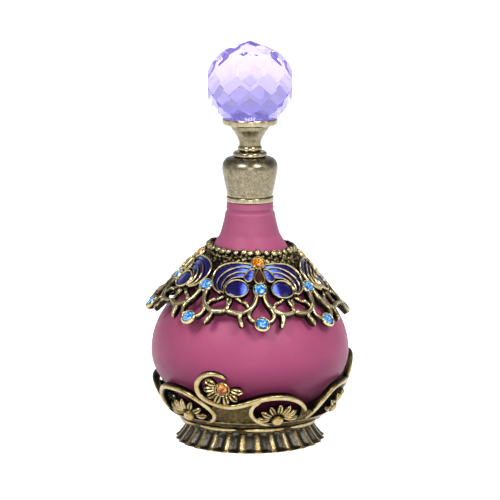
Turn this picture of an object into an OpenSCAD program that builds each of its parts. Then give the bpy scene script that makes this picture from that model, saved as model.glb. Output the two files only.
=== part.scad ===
/* [Bottle] */
// widest radius of the glass bulb, mm
bulb_r = 29; // [26:0.5:32]
// height of the widest point of the bulb, mm
bulb_z = 26.6; // [24:0.2:30]
// outer radius of the straight glass neck, mm
neck_r = 6.8; // [6:0.1:8]
// thickness of the glass wall, mm
glass_wall = 1.6; // [1.4:0.1:2.4]

/* [Stopper] */
// radius of the faceted crystal ball, mm
ball_r = 12.5; // [10:0.5:14]
// height of the centre of the crystal ball, mm
ball_z = 104.8; // [102:0.2:108]
// facets in each full row of the ball
ball_facets = 10; // [8:1:14]
// radius of the dished disc under the ball, mm
seat_r = 8; // [7:0.5:10]
// largest radius of the domed cap, mm
dome_r = 8.1; // [7.5:0.1:9.5]
// length of the dabber rod below the plug, mm
rod_len = 32; // [25:1:32]

/* [Collar] */
// turn of the butterflies from the front, degrees
turn = 8; // [0:1:45]
// lean of the whole collar to the right, degrees
lean = 2.8; // [0:0.1:4]
// radius of the top edge of the collar, mm
rim_r = 12.3; // [11.5:0.1:13.5]
// height of the top edge of the collar, mm
rim_z = 57; // [56:0.5:60]
// slope of the collar below level, degrees
slope = 47.6; // [40:0.1:52]
// radius of the round stones, mm
stone_r = 1.7; // [1.2:0.1:2]
// beads around the top edge of the collar
rim_beads = 20; // [20:1:48]

/* [Base] */
// radius of the foot where it stands, mm
foot_r = 22.2; // [20:0.2:25]
// height of the fluted foot, mm
foot_h = 5.3; // [4:0.1:7]
// ribs around the foot
ribs = 28; // [20:1:36]
// height of the scroll tops above the table, mm
scroll_z = 25; // [24:0.5:28]

/* [Hidden] */

brass = [0.62, 0.55, 0.36];
dull_brass = [0.5, 0.45, 0.3];
plum = [0.66, 0.32, 0.5];
lilac = [0.78, 0.72, 0.96];
blue = [0.12, 0.14, 0.6];
sky = [0.3, 0.62, 0.92];
amber = [0.9, 0.55, 0.1];
umber = [0.28, 0.14, 0.08];
steel = [0.7, 0.7, 0.72];
clear_plastic = [0.88, 0.88, 0.9];

// half heights of the bulb above and below its widest point
bulb_up = 24;
bulb_low = 19.2;
// heights of the underside of the glass, the flat foot of the ball and the tip of the plug
base_z = 8;
ball_foot = 93.45;
plug_z = 66;
// radii of the holes in the stopper pieces and of the stud through them
hole_r = 1.3;
stud_r = 1.25;

// height of the enamel above the collar plate, and of the metal lines over it
enamel_lo = 0.1;
enamel_hi = 0.42;
line_lo = 0.55;
line_hi = 1.05;
// thickness of the collar plate, gap at its inner lip, and height of a stone's girdle above it
plate_t = 1.1;
lip_gap = 0.15;
stone_h = 0.35;
// distances down the collar to its three rings of stones, and the height that it leans about
head_at = 3.3;
upper_at = 12.3;
drop_at = 23.6;
lean_z = 49;
// where each scroll's stone sits on the bowl
scroll_seat = [-15.5, 20.9];
scroll_h = stone_h + 0.5;

// a smooth run of points through hand-set ones
function cr1(p, q, r, s, t) =
  0.5 * ((2 * q) + (r - p) * t + (2 * p - 5 * q + 4 * r - s) * t * t
    + (3 * q - p - 3 * r + s) * t * t * t);
function run(P, k) =
  let (n = len(P))
  concat([for (i = [0:n - 2]) for (j = [0:k - 1])
    cr1(P[max(i - 1, 0)], P[i], P[i + 1], P[min(i + 2, n - 1)], j / k)], [P[n - 1]]);
function loop(P, k) =
  let (n = len(P))
  [for (i = [0:n - 1]) for (j = [0:k - 1])
    cr1(P[(i + n - 1) % n], P[i], P[(i + 1) % n], P[(i + 2) % n], j / k)];
function oval(c, ra, rs, tilt, n) =
  [for (i = [0:n - 1]) let (t = 360 * i / n, x = ra * cos(t), y = rs * sin(t))
    [c[0] + x * cos(tilt) - y * sin(tilt) * ra / rs, c[1] + x * sin(tilt) * rs / ra + y * cos(tilt)]];
function flip(P) = [for (p = P) [-p[0], p[1]]];
function shift(P, a) = [for (p = P) [p[0] + a, p[1]]];

// a point on the collar's slope: angle from the front, distance down, height above
function on_collar(a, s, h) =
  let (r = rim_r + s * cos(slope) + h * sin(slope))
  [r * sin(a), -r * cos(a), rim_z - s * sin(slope) + h * cos(slope)];
// a point on the gallery's bowl: angle from the front, height, distance outward
function on_bowl(a, z, h) =
  let (k = (27 - z) / 21, c = sqrt(1 - k * k), nr = c / 14.2, nz = -k / 21, m = norm([nr, nz]))
  let (r = 15 + 14.2 * c + h * nr / m)
  [r * sin(a), -r * cos(a), z + h * nz / m];
function on(k, a, s, h) = k == 0 ? on_collar(a, s, h) : on_bowl(a, s, h);
function unit(v) = v / norm(v);
// the collar and all that it carries lean together on the flare of the neck
module leaned() { translate([0, 0, lean_z]) rotate([0, lean, 0]) translate([0, 0, -lean_z]) children(); }

// one ring of corners across a metal line: three on the collar, four on the bowl
function ring(k, P, i, w, lo, hi, shut) =
  let (n = len(P),
    p = P[shut ? (i + n - 1) % n : max(i - 1, 0)],
    q = P[shut ? (i + 1) % n : min(i + 1, n - 1)],
    c = on(k, P[i][0], P[i][1], 0),
    up = unit(on(k, P[i][0], P[i][1], 1) - c),
    along = unit(on(k, q[0], q[1], 0) - on(k, p[0], p[1], 0)),
    side = unit(cross(along, up)),
    f = shut ? 1 : min(1, 0.55 + 0.45 * min(i, n - 1 - i)))
  k == 0
    ? [c + side * w * f * 0.6 + up * lo, c + up * hi, c - side * w * f * 0.6 + up * lo]
    : [c + side * w * f / 2 + up * lo, c + side * w * f * 0.3 + up * hi,
      c - side * w * f * 0.3 + up * hi, c - side * w * f / 2 + up * lo];

// side faces of a tube of n rings with e corners each, joined over m of its gaps
function tube_faces(n, m, e) = [for (i = [0:m - 1]) for (j = [0:e - 1]) for (t = [0:1])
  let (a = i * e + j, b = i * e + (j + 1) % e, k = ((i + 1) % n) * e, c = k + j, d = k + (j + 1) % e)
  t == 0 ? [a, b, c] : [b, d, c]];
// a raised metal line that follows a run of points
module line(k, P, w, lo, hi, shut = false) {
  n = len(P);
  V = [for (i = [0:n - 1]) each ring(k, P, i, w, lo, hi, shut)];
  m = shut ? n : n - 1;
  e = k == 0 ? 3 : 4;
  z = e * (n - 1);
  E = shut ? [] : k == 0 ? [[0, 2, 1], [z, z + 1, z + 2]]
    : [[0, 2, 1], [0, 3, 2], [z, z + 1, z + 2], [z, z + 2, z + 3]];
  polyhedron(V, concat(tube_faces(n, m, e), E));
}

// a curved plate inside an outline, around a middle point
module patch(k, C, P, lo, hi, m = 2) {
  n = len(P);
  top = concat([on(k, C[0], C[1], hi)], [for (j = [1:m]) for (p = P)
    let (q = C + (p - C) * j / m) on(k, q[0], q[1], hi)]);
  bot = concat([on(k, C[0], C[1], lo)], [for (j = [1:m]) for (p = P)
    let (q = C + (p - C) * j / m) on(k, q[0], q[1], lo)]);
  o = 1 + m * n;
  e = 1 + (m - 1) * n;
  F = concat(
    [for (i = [0:n - 1]) [0, 1 + i, 1 + (i + 1) % n]],
    [for (i = [0:n - 1]) [o, o + 1 + (i + 1) % n, o + 1 + i]],
    m < 2 ? [] : [for (j = [1:m - 1]) for (i = [0:n - 1]) for (t = [0:3])
      let (a = 1 + (j - 1) * n + i, b = 1 + (j - 1) * n + (i + 1) % n, c = a + n, d = b + n)
      t == 0 ? [a, c, b] : t == 1 ? [b, c, d] : t == 2 ? [o + a, o + b, o + c] : [o + b, o + d, o + c]],
    [for (i = [0:n - 1]) for (t = [0:1])
      let (a = e + i, b = e + (i + 1) % n)
      t == 0 ? [a, o + a, b] : [b, o + a, o + b]]);
  polyhedron(concat(top, bot), F);
}

// stand children on the collar or the bowl, facing out
module stand(k, a, s, h) {
  p = on(k, a, s, h);
  z = unit(on(k, a, s, 1) - on(k, a, s, 0));
  x = [cos(a), sin(a), 0];
  y = cross(z, x);
  multmatrix([[x[0], y[0], z[0], p[0]], [x[1], y[1], z[1], p[1]], [x[2], y[2], z[2], p[2]]]) children();
}

// a round cut stone, girdle at its foot
module stone(r) {
  cylinder(h = 0.5, r = r, $fn = 8);
  translate([0, 0, 0.5]) cylinder(h = 0.65, r1 = r, r2 = r * 0.55, $fn = 8);
}
// a metal cup around a stone, and the pocket in it
module cup(r) {
  hull() {
    translate([0, 0, -1.3]) cylinder(h = 0.1, r = r * 0.75, $fn = 4);
    cylinder(h = 0.55, r = r + 0.5, $fn = 8);
  }
}
module pocket(r) { cylinder(h = 4, r = r + 0.06, $fn = 8); }

/* the butterfly, in angle and distance down the slope */
fore = [[9.5, 4.6], [20, 3.9], [30, 4.4], [38, 5.7], [41.5, 8], [40.5, 10.6], [37, 12.6], [33, 12.4],
  [30.5, 10.2], [24, 8.7], [15.5, 8.9], [11.5, 7.6]];
edge = [[7, 3.4], [18, 3.1], [30, 3.5], [40, 5], [43.2, 8], [41.8, 11], [38, 13.5], [33.5, 14]];
vein_a = [[7.2, 6.5], [20, 5.4], [32, 6.5], [41.8, 11]];
vein_b = [[9.2, 8.2], [20, 6.9], [30, 8.2], [37.2, 13.7]];
hind = oval([20.6, 12.3], 8.6, 2.8, 6, 9);
hind_in = oval([20.6, 12.3], 7.1, 2.2, 6, 9);
drop_s = [[4.4, 6], [7.8, 6.8], [9.5, 9.4], [7.6, 10.6], [5.2, 8.8]];
drop_in = [for (p = drop_s) [7, 8.5] + (p - [7, 8.5]) * 0.42];
tear = [[0, 5.4], [1.9, 7], [4, 8.9], [3.6, 10.3], [0, 10.9], [-3.6, 10.3], [-4, 8.9], [-1.9, 7]];
tear_in = [for (p = tear) [0, 8.8] + (p - [0, 8.8]) * 0.58];

// lower edge of the collar plate, for an angle within an eighth turn
function plate_low(a) = lookup(a, [[0, 13.7], [4.5, 12.8], [7, 10.8], [10, 11.6], [13, 14.4], [18, 15.6],
  [24, 15.8], [29, 14.6], [31.5, 13.6], [35, 14.2], [38, 13.4], [41, 12.2], [45, 13.7]]);
function fold(a) = let (b = abs(a) % 90) b > 45 ? 90 - b : b;

module plate() {
  n = 44;
  V = [for (i = [0:n - 1]) let (a = 360 * (i + 0.3) / n, q = plate_low(fold(a)))
    each [on_collar(a, 0, 0), on_collar(a, q, 0), on_collar(a, q, -plate_t), on_collar(a, 0.8, -plate_t),
      lip(a, rim_z - 0.8), lip(a, rim_z + 0.4)]];
  polyhedron(V, [for (f = tube_faces(n, n, 6)) [f[0], f[2], f[1]]]);
}

module spray_half() {
  line(0, [[2.4, 13.4], [2.7, 16.4], [7.2, 18.9], [12.4, 20.6], [17, 20.9], [23.3, 19.6]], 1.2, -0.5, 0.9);
  line(0, [[12.4, 20.2], [12, 22.4], [10.4, 25]], 1.25, -0.55, 0.85);
  line(0, [[15.6, 15], [12.4, 16.6], [7.4, 17.2]], 1.1, -0.4, 0.8);
  line(0, [[7, 18.4], [5.4, 20.1], [6.6, 21.4], [4.8, 23], [1.2, 22.8]], 1.1, -0.45, 0.8);
}
module spray(a) {
  rotate([0, 0, a]) {
    spray_half();
    mirror([1, 0, 0]) spray_half();
    stand(0, 0, upper_at, stone_h) cup(stone_r);
    stand(0, 0, drop_at, stone_h) cup(stone_r);
  }
}
module wing_lines() {
  line(0, edge, 0.8, -0.2, line_hi);
  line(0, vein_a, 0.6, line_lo, line_hi);
  line(0, vein_b, 0.6, line_lo, line_hi);
  line(0, hind, 0.7, -0.2, line_hi, true);
  line(0, drop_s, 0.6, -0.2, line_hi, true);
}
module link_hook() {
  line(0, [[35.5, 13.4], [37.4, 15.2], [33.6, 17]], 1, -0.5, 0.7);
}

module collar_casting() {
  color(brass) leaned() difference() {
    union() {
      rotate([0, 0, turn]) plate();
      for (i = [0:3]) rotate([0, 0, turn + 90 * i]) {
        wing_lines();
        mirror([1, 0, 0]) wing_lines();
        link_hook();
        mirror([1, 0, 0]) link_hook();
        line(0, tear, 0.6, -0.2, line_hi, true);
        stand(0, 0, head_at, stone_h) cup(stone_r);
      }
      for (i = [0:7]) spray(turn + 45 * i);
      for (i = [0:rim_beads - 1]) rotate([0, 0, 360 * (i + 0.23) / rim_beads])
        stand(0, 0, 0.5, 0.17) sphere(r = 1.1 + 0.15 * (i % 3), $fn = 4);
    }
    for (i = [0:3]) rotate([0, 0, turn + 90 * i]) stand(0, 0, head_at, stone_h) pocket(stone_r);
    for (i = [0:7]) rotate([0, 0, turn + 45 * i]) {
      stand(0, 0, upper_at, stone_h) pocket(stone_r);
      stand(0, 0, drop_at, stone_h) pocket(stone_r);
    }
  }
}
// a corner of the collar's inner lip, which bears on the flare of the neck
function lip(a, z) = let (r = flare_r(z) + lip_gap) [r * sin(a), -r * cos(a), z];
// radius of the glass flare at a height, from its straight bands
function flare_r(z) = let (P = neck_side()) lookup(z, [for (p = P) [p[1], p[0]]]);

module wing_enamel(i) {
  color(blue) leaned() rotate([0, 0, turn + 90 * (i - 1)]) for (m = [0, 1]) mirror([m, 0, 0]) {
    patch(0, [25, 6.6], fore, enamel_lo, enamel_hi, 3);
    patch(0, [20.6, 12.3], hind_in, enamel_lo, enamel_hi, 2);
    patch(0, [7, 8.6], drop_in, enamel_lo, enamel_hi, 1);
  }
}

module body_enamel(i) {
  color(umber) leaned() rotate([0, 0, turn + 90 * (i - 1)])
    patch(0, [0, 8.8], tear_in, enamel_lo, enamel_hi, 1);
}
module head_stone(i) {
  color(amber) leaned() rotate([0, 0, turn + 90 * (i - 1)]) stand(0, 0, head_at, stone_h) stone(stone_r);
}
module upper_stone(i) {
  color(sky) leaned() rotate([0, 0, turn + 45 * (i - 1)]) stand(0, 0, upper_at, stone_h) stone(stone_r);
}
module drop_stone(i) {
  color(sky) leaned() rotate([0, 0, turn + 45 * (i - 1)]) stand(0, 0, drop_at, stone_h) stone(stone_r);
}

/* the glass */
function bez(a, b, c, d, t) =
  a * pow(1 - t, 3) + b * 3 * t * pow(1 - t, 2) + c * 3 * t * t * (1 - t) + d * pow(t, 3);
function bulb_side(r, up, low, z0, z1, n) = [for (i = [0:n])
  let (z = z0 + (z1 - z0) * i / n, b = z > bulb_z ? up : low)
  [r * sqrt(max(0, 1 - pow((z - bulb_z) / b, 2))), z]];
function arc_side(r, b, t0, t1, n) = [for (i = [0:n]) let (t = t0 + (t1 - t0) * i / n)
  [r * cos(t), bulb_z + b * sin(t)]];
function neck_side() = concat(
  [for (i = [1:10]) bez([21.7, 42.5], [17.4, 46.5], [13.4, 53.1], [9.2, 60.1], i / 10)],
  [[8.6, 61.3], [7.9, 63.7], [7.3, 66], [neck_r + 0.1, 67.4], [neck_r, 67.6], [neck_r, 70.4]]);

module glass_bottle() {
  low = asin((base_z - bulb_z) / bulb_low);
  top = asin(15.9 / bulb_up);
  outer = concat(arc_side(bulb_r, bulb_low, low, 0, 12), [for (i = [1:9]) let (t = top * i / 9)
    [bulb_r * cos(t), bulb_z + bulb_up * sin(t)]], neck_side(), [[6, 70.4], [6, 74.6]]);
  w = glass_wall;
  inner = concat([[4.6, 74.6], [5.2, 73.6], [5.2, 64], [6.6, 61.2]],
    [for (i = [9:-1:1]) bez([20.6, 41], [16, 45.6], [11.8, 52], [7.6, 59.2], i / 9)],
    [for (i = [8:-1:1]) let (t = asin(14.4 / (bulb_up - w)) * i / 8)
      [(bulb_r - w) * cos(t), bulb_z + (bulb_up - w) * sin(t)]],
    arc_side(bulb_r - w, bulb_low - w - 0.6, 0, -80, 10), [[0, bulb_z - (bulb_low - w - 0.6) * 0.985]]);
  color(plum) rotate_extrude($fn = 96) polygon(concat([[0, base_z]], outer, inner));
}

module neck_ferrule() {
  color(brass) rotate_extrude($fn = 64)
    polygon([[6.05, 70.5], [6.7, 70.5], [6.95, 70.8], [6.95, 71.9], [6.7, 72.15], [6.05, 72.15]]);
}

/* the stopper */
module cap_dome() {
  color(brass) rotate_extrude($fn = 64) polygon([
    [6.3, 72.25], [6.6, 72.25], [6.75, 73], [7.3, 75.5], [7.75, 77.85], [8, 79.2], [dome_r, 80.5],
    [7.95, 81.6], [7.4, 82.6], [6.7, 83.2], [5.4, 83.65], [hole_r, 83.65], [hole_r, 82], [5.6, 82],
    [6.6, 81], [6.9, 79], [6.6, 76.6], [6.3, 75.2]]);
}
module shoulder_ring() {
  color(brass) rotate_extrude($fn = 64) polygon([
    [hole_r, 83.65], [4.6, 83.65], [4.95, 84], [5, 84.4], [4.9, 84.9], [4.5, 85.2], [hole_r, 85.2]]);
}
module bead_ring() {
  color(brass) rotate_extrude($fn = 48) polygon([
    [hole_r, 85.2], [3, 85.2], [3.45, 85.6], [3.6, 86.1], [3.45, 86.6], [3, 87], [hole_r, 87]]);
}
module stopper_stem() {
  color(brass) rotate_extrude($fn = 48) polygon([
    [hole_r, 87], [3.1, 87], [3.2, 88], [3.6, 89], [4.1, 90], [4.75, 91], [5.3, 91.7], [5.6, 92.4],
    [5.6, 93], [hole_r, 93]]);
}
module ball_seat() {
  color(brass) rotate_extrude($fn = 72) polygon(concat(
    [[hole_r, 93], [seat_r - 0.5, 93], [seat_r, 93.4], [seat_r + 0.05, 94.6], [seat_r - 0.1, 95]],
    [for (i = [0:5]) let (r = 7.75 - 2.2 * i / 5) [r, ball_z - sqrt(pow(ball_r + 0.06, 2) - r * r)]],
    [[5.4, ball_foot], [hole_r, ball_foot]]));
}
// everything below a level cut, tipped to face one facet
module keep(a, t, d) {
  rotate([0, 0, a]) rotate([0, t, 0]) hull() {
    translate([-20, -20, -30]) cube([40, 40, 1]);
    translate([-20, -20, d - 1]) cube([40, 40, 1]);
  }
}
module crystal_ball() {
  d = ball_r * 0.975;
  s = 360 / ball_facets;
  color(lilac) translate([0, 0, ball_z]) difference() {
    intersection() {
      intersection_for(i = [0:ball_facets - 1]) keep(s * i, 90, d);
      intersection_for(i = [0:ball_facets - 1]) keep(s * (i + 0.5), 67.5, d);
      intersection_for(i = [0:ball_facets - 1]) keep(s * (i + 0.5), 112.5, d);
      intersection_for(i = [0:ball_facets - 1]) keep(s * i, 45, d);
      intersection_for(i = [0:ball_facets - 1]) keep(s * i, 135, d);
      intersection_for(i = [0:4]) keep(2 * s * i + 10, 22.5, ball_r * 0.935);
      intersection_for(i = [0:4]) keep(2 * s * i + 10, 157.5, ball_r * 0.935);
      keep(0, 180, ball_z - ball_foot);
    }
    translate([0, 0, -20]) cylinder(h = 13.4, r = hole_r + 0.05, $fn = 16);
  }
}
module stopper_stud() {
  color(steel) translate([0, 0, 75.4]) cylinder(h = 22.6, r = stud_r, $fn = 48);
}
module stud_nut() {
  color(steel) translate([0, 0, 80]) difference() {
    cylinder(h = 2, r = 2.9, $fn = 6);
    translate([0, 0, -1]) cylinder(h = 4, r = hole_r, $fn = 48);
  }
}
// plastic plug: a shoulder that rests on the glass mouth, and a tapered seal below
module plug_insert() {
  color(clear_plastic) rotate_extrude($fn = 48) polygon([
    [1.05, plug_z], [3.6, plug_z], [4.25, 73], [4.3, 74.9], [5.9, 74.9], [5.9, 75.1], [6.2, 76.6],
    [6.4, 78.6], [hole_r, 78.6], [hole_r, 75], [1.05, 75]]);
}
module seal_ring() {
  color(clear_plastic) rotate_extrude($fn = 48)
    polygon([[4.35, 74.6], [5.8, 74.6], [5.8, 74.9], [4.35, 74.9]]);
}
module dabber_rod() {
  color(clear_plastic) rotate_extrude($fn = 32) polygon([
    [0, plug_z - rod_len], [0.7, plug_z - rod_len + 0.2], [1, plug_z - rod_len + 1], [1, 75], [0, 75]]);
}

/* the base */
scroll = run([[-13.4, 23.6], [-17.5, 24.7], [-22.5, scroll_z], [-28, 23.9], [-31.4, 21.4], [-30.6, 18.8],
  [-26.7, 17.2], [-19.5, 15.9], [-12, 15.4], [-5, 16], [1.5, 17], [9, 18], [17, 18.2], [25, 17.5],
  [32, 15.7], [38.5, 12.8]], 2);
loop_r = run([[7.5, 17.4], [2.6, 16], [0.6, 14], [2, 12], [7, 10.2], [15, 9.2]], 1);
loop_l = run([[-81, 9.4], [-76, 10.8], [-70, 15], [-62, 18.2], [-52, 19], [-42, 18.5], [-34, 17],
  [-27, 14.8], [-23.5, 12.6], [-26, 10.4], [-34, 9.2]], 1);

module petal(a0, z0, a1, z1) {
  hull() {
    stand(1, a0 + (a1 - a0) * 0.25, z0 + (z1 - z0) * 0.25, 0.2)
      cylinder(h = 0.6, r1 = 0.5, r2 = 0.3, $fn = 4);
    stand(1, a0 + (a1 - a0) * 0.82, z0 + (z1 - z0) * 0.82, 0.1)
      cylinder(h = 1, r1 = 0.95, r2 = 0.6, $fn = 4);
  }
}
// a half daisy around a round boss
module daisy(a, z, spread) {
  for (i = [0:6]) let (t = 12 + 26 * i)
    petal(a, z, a + spread * cos(t), z + 5.4 * sin(t) * (0.85 + 0.15 * sin(t)));
  stand(1, a, z, 0.2) cylinder(h = 1.5, r1 = 2, r2 = 1.2, $fn = 8);
}
module scroll_daisy() {
  for (t = [150, 185, 215, 245, 280, 315, 350])
    petal(scroll_seat[0], scroll_seat[1], scroll_seat[0] + 12.2 * cos(t), scroll_seat[1] + 5 * sin(t));
  stand(1, scroll_seat[0], scroll_seat[1], scroll_h) cup(stone_r);
}
module gallery_part() {
  line(1, scroll, 1.5, 0, 1.35);
  line(1, loop_r, 1.3, 0, 1.2);
  line(1, loop_l, 1.4, 0, 1.25);
  daisy(18.6, 10.8, 15);
  daisy(-45, 11, 17);
  scroll_daisy();
  patch(1, [-12, 12], [[-24, 14.5], [-20, 16], [-12, 15.4], [-5, 16], [2, 16.6], [1, 14], [2, 11.6],
    [5, 9], [-10, 8.6], [-26, 9], [-23.6, 12]], 0.1, 0.75, 2);
  patch(1, [40, 10.5], [[34, 14.6], [38, 13.2], [43, 12.6], [46, 9.4], [40, 8.6], [28, 8.8], [34, 11]],
    0.12, 0.7, 1);
}
module gallery_cup() {
  color(brass) difference() {
    union() {
      for (i = [0:2]) rotate([0, 0, 120 * i]) gallery_part();
      rotate_extrude($fn = 36) polygon([
        [0, 5.3], [18.4, 5.3], [18.8, 6], [20.4, 6.5], [22.4, 7.6], [24.5, 9.6], [23.2, 10],
        [20.4, 7.9], [17.6, 6.6], [7, 6.6], [6.6, base_z], [0, base_z]]);
    }
    for (i = [0:2]) rotate([0, 0, 120 * i])
      stand(1, scroll_seat[0], scroll_seat[1], scroll_h) pocket(stone_r);
  }
}
module scroll_stone(i) {
  color(amber) rotate([0, 0, 120 * (i - 1)])
    stand(1, scroll_seat[0], scroll_seat[1], scroll_h) stone(stone_r);
}
// radius and height around the foot's wall, at a valley for w = 0 and at a crest for w = 1
function foot_section(w) = [
  [foot_r - 0.9 * (1 - w), 0], [19.3 + 0.7 * w, 2.4], [17.5 + 0.5 * w, foot_h], [14, foot_h],
  [14, foot_h - 1], [16.6, foot_h - 1.2], [18.4, 2.2], [foot_r - 2, 0]];
// flared skirt with raised ribs
module fluted_foot() {
  n = 4 * ribs;
  // each rib has four corners around it: a valley, two on its crest, a valley
  crest = [0, 1, 1, 0];
  share = [0.02, 0.12, 0.42, 0.52];
  V = [for (i = [0:n - 1]) let (w = crest[i % 4], a = 360 * (floor(i / 4) + share[i % 4]) / ribs)
    each [for (p = foot_section(w)) [p[0] * cos(a), p[0] * sin(a), p[1]]]];
  color(dull_brass) polyhedron(V, tube_faces(n, n, 8));
}

glass_bottle();
neck_ferrule();
collar_casting();
gallery_cup();
fluted_foot();
wing_enamel(1);  // wing_enamel_1
wing_enamel(2);  // wing_enamel_2
wing_enamel(3);  // wing_enamel_3
wing_enamel(4);  // wing_enamel_4
body_enamel(1);  // body_enamel_1
body_enamel(2);  // body_enamel_2
body_enamel(3);  // body_enamel_3
body_enamel(4);  // body_enamel_4
head_stone(1);  // head_stone_1
head_stone(2);  // head_stone_2
head_stone(3);  // head_stone_3
head_stone(4);  // head_stone_4
upper_stone(1);  // upper_stone_1
upper_stone(2);  // upper_stone_2
upper_stone(3);  // upper_stone_3
upper_stone(4);  // upper_stone_4
upper_stone(5);  // upper_stone_5
upper_stone(6);  // upper_stone_6
upper_stone(7);  // upper_stone_7
upper_stone(8);  // upper_stone_8
drop_stone(1);  // drop_stone_1
drop_stone(2);  // drop_stone_2
drop_stone(3);  // drop_stone_3
drop_stone(4);  // drop_stone_4
drop_stone(5);  // drop_stone_5
drop_stone(6);  // drop_stone_6
drop_stone(7);  // drop_stone_7
drop_stone(8);  // drop_stone_8
scroll_stone(1);  // scroll_stone_1
scroll_stone(2);  // scroll_stone_2
scroll_stone(3);  // scroll_stone_3
crystal_ball();
ball_seat();
stopper_stem();
bead_ring();
shoulder_ring();
cap_dome();
stopper_stud();
stud_nut();
plug_insert();
seal_ring();
dabber_rod();
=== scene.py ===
"""A perfume bottle with an enamelled butterfly collar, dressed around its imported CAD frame."""

import math

import bmesh
import bpy
import numpy as np
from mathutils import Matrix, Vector, noise


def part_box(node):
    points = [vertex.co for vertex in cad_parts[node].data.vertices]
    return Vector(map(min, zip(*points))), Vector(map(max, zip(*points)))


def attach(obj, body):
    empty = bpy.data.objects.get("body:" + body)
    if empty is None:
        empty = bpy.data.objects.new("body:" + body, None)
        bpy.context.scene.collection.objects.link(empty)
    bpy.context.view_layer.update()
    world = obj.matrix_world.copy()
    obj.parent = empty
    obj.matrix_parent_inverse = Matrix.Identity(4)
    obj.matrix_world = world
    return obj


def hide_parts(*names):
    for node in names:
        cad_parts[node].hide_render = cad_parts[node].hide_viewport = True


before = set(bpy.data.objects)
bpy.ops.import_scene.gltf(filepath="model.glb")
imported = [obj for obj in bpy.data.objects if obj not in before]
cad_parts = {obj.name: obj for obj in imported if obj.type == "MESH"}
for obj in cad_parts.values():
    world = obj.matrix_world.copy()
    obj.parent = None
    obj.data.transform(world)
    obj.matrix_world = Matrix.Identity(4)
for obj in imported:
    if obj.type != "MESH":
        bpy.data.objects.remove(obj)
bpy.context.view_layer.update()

# Lengths are in millimetres and angles in degrees, and each mesh is scaled to metres when it is made.
MM = 0.001


def corners(node):
    """The corners of a CAD node, in mm."""
    return np.array([v.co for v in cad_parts[node].data.vertices]) / MM


def span(node):
    """Lowest and highest corner of a CAD node, in mm."""
    low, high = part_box(node)
    return np.array(low) / MM, np.array(high) / MM


def unit(v):
    return v / np.linalg.norm(v, axis=-1, keepdims=True)


def sin(a):
    return np.sin(np.radians(a))


def cos(a):
    return np.cos(np.radians(a))


# ---- the frame's driving dimensions ----


def stone_middle(node):
    """Middle of a round stone."""
    return np.unique(corners(node).round(3), axis=0).mean(0)


SPRAYS, BUTTERFLIES, SCROLLS, RIBS = 8, 4, 3, 28
EIGHTH, QUARTER, THIRD = 360 // SPRAYS, 360 // BUTTERFLIES, 360 // SCROLLS

# The collar leans a little. Its axis runs through the middles of its two full rings of stones.
CENTRE = np.mean([stone_middle(f"drop_stone_{i + 1}") for i in range(SPRAYS)], 0)
AXIS = unit(np.mean([stone_middle(f"upper_stone_{i + 1}") for i in range(SPRAYS)], 0) - CENTRE)
SIDE = unit(np.cross([0, 1, 0], AXIS))
BACK = np.cross(AXIS, SIDE)


def upright(points):
    """Points seen from the leaning collar: across, back and up from the middle of its lower stones."""
    return (points - CENTRE) @ np.stack([SIDE, BACK, AXIS], -1)


# The two stones of one spray lie on one line down the collar, which gives its turn and its slope.
down = upright(stone_middle("drop_stone_1")) - upright(stone_middle("upper_stone_1"))
TURN = math.degrees(math.atan2(down[0], -down[1]))
SLOPE = math.degrees(math.atan2(-down[2], math.hypot(down[0], down[1])))
OUT = np.array([sin(SLOPE) * sin(TURN), -sin(SLOPE) * cos(TURN), cos(SLOPE)])


def girdle(node):
    """The lowest ring of corners of a stone that lies square to OUT."""
    points = upright(corners(node))
    height = points @ OUT
    return np.unique(points[height < height.min() + 0.01].round(3), axis=0)


STONE_UP = 0.35
HEAD_S, UPPER_S = 3.3, 12.3
DROP_S = UPPER_S + np.linalg.norm(down)
head_ring = girdle("head_stone_1")
STONE_R = np.linalg.norm(head_ring[0] - head_ring.mean(0))
rim = head_ring.mean(0) - OUT * STONE_UP - unit(down) * HEAD_S
RIM_R, RIM_Z = math.hypot(rim[0], rim[1]), rim[2]

GLASS_LOW, GLASS_HIGH = span("glass_bottle")
BULB_R = GLASS_HIGH[0]
BULB_Z = GLASS_LOW[2] + 18.6
BULB_UP, BULB_LOW = 24.0, 19.2
WALL = 1.6
FOOT_R = span("fluted_foot")[1][0]
FOOT_H = span("fluted_foot")[1][2]
SCROLL_SEAT = (-15.5, 20.9)
BOWL_Z, BOWL_DEPTH, BOWL_CORE, BOWL_SWELL = 27, 21, 15, 14.2
LEDGE_R, LEDGE_Z, LEDGE_LEAN = 20.2, 6.2, 0.55
BALL_REACH = 0.975  # how far out the ball's main facets lie, as a share of its radius
BALL_R = span("crystal_ball")[1][0] / BALL_REACH
BALL_FOOT = span("crystal_ball")[0][2]
BALL_Z = span("ball_seat")[0][2] + 11.8


def polar(r, a, z):
    """Points at a radius, an angle from the front and a height."""
    return np.stack([r * sin(a), -r * cos(a), z], -1)


def on_collar(a, s, h):
    """Points on the collar's slope: angle from the front, distance down it, height above it."""
    r = RIM_R + s * cos(SLOPE) + h * sin(SLOPE)
    local = polar(r, a, RIM_Z - s * sin(SLOPE) + h * cos(SLOPE))
    return CENTRE + local @ np.stack([SIDE, BACK, AXIS])


def on_bowl(a, z, h):
    """Points on the gallery's bowl: angle from the front, height, distance outward."""
    k = (BOWL_Z - z) / BOWL_DEPTH
    c = np.sqrt(1 - k * k)
    out = unit(np.stack([c / BOWL_SWELL, -k / BOWL_DEPTH], -1))
    r = BOWL_CORE + BOWL_SWELL * c + h * out[..., 0]
    return polar(r, a, z + h * out[..., 1])


def on_ledge(a, z, h):
    """Points on the band between the gallery and the foot."""
    r = LEDGE_R + LEDGE_LEAN * (z - LEDGE_Z) + h
    return polar(r, a, z + 0 * h)


# ---- curves ----


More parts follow.
